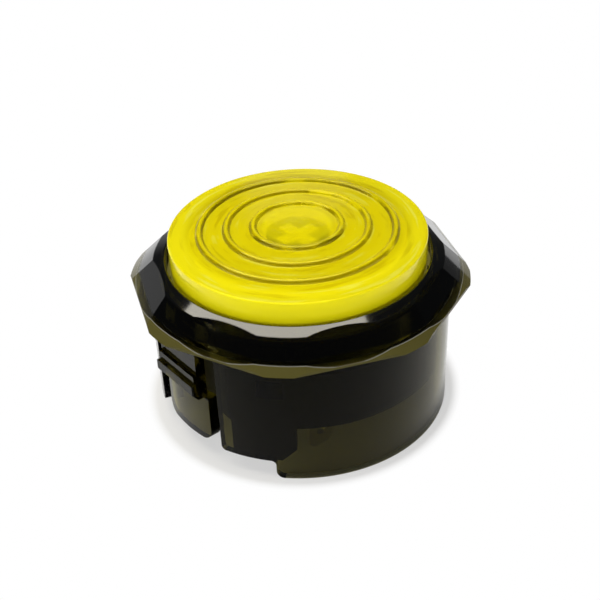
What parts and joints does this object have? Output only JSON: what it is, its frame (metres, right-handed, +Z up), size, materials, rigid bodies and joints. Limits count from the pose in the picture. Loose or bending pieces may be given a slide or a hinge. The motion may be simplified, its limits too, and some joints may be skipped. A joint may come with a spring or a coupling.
{
  "type": "arcade push button",
  "caption": "Snap-in arcade push button: clear yellow ringed plunger in an octagonal smoke bezel, round barrel with snap tabs for a panel hole, sprung key switch inside.",
  "frame": {"origin": "centre of the bezel's underside, where it sits on the panel", "axes": "+Z up along the plunger, snap tabs on X, deep skirts on Y"},
  "size_m": [0.0334, 0.0334, 0.0194],
  "materials": {
    "smoke_plastic": "polished smoke-tinted clear plastic",
    "yellow_plastic": "polished clear yellow plastic",
    "holder_plastic": "fine satin black plastic",
    "case_plastic": "satin dark grey plastic",
    "stem_plastic": "natural low-friction plastic",
    "spring_steel": "drawn wire",
    "contact_brass": "stamped strip",
    "board": "solder mask on laminate",
    "terminal_brass": "tinned stamped strip",
    "solder": "bright solder"
  },
  "bodies": {
    "housing": {"housing": "smoke_plastic", "switch_holder": "holder_plastic", "switch_base": "case_plastic", "switch_cover": "case_plastic", "return_spring": "spring_steel", "moving_contact": "contact_brass", "fixed_contact": "contact_brass", "circuit_board": "board", "left_terminal": "terminal_brass", "right_terminal": "terminal_brass", "solder_joints": "solder"},
    "plunger": {"plunger": "yellow_plastic", "switch_stem": "stem_plastic"}
  },
  "joints": [
    {"name": "plunger_press", "type": "slide", "parent": "housing", "child": "plunger", "axis": [0, 0, -1], "range_m": [0, 0.0018], "stiffness_N_per_m": 150, "springref_m": -0.003, "deforming": ["return_spring"]}
  ]
}
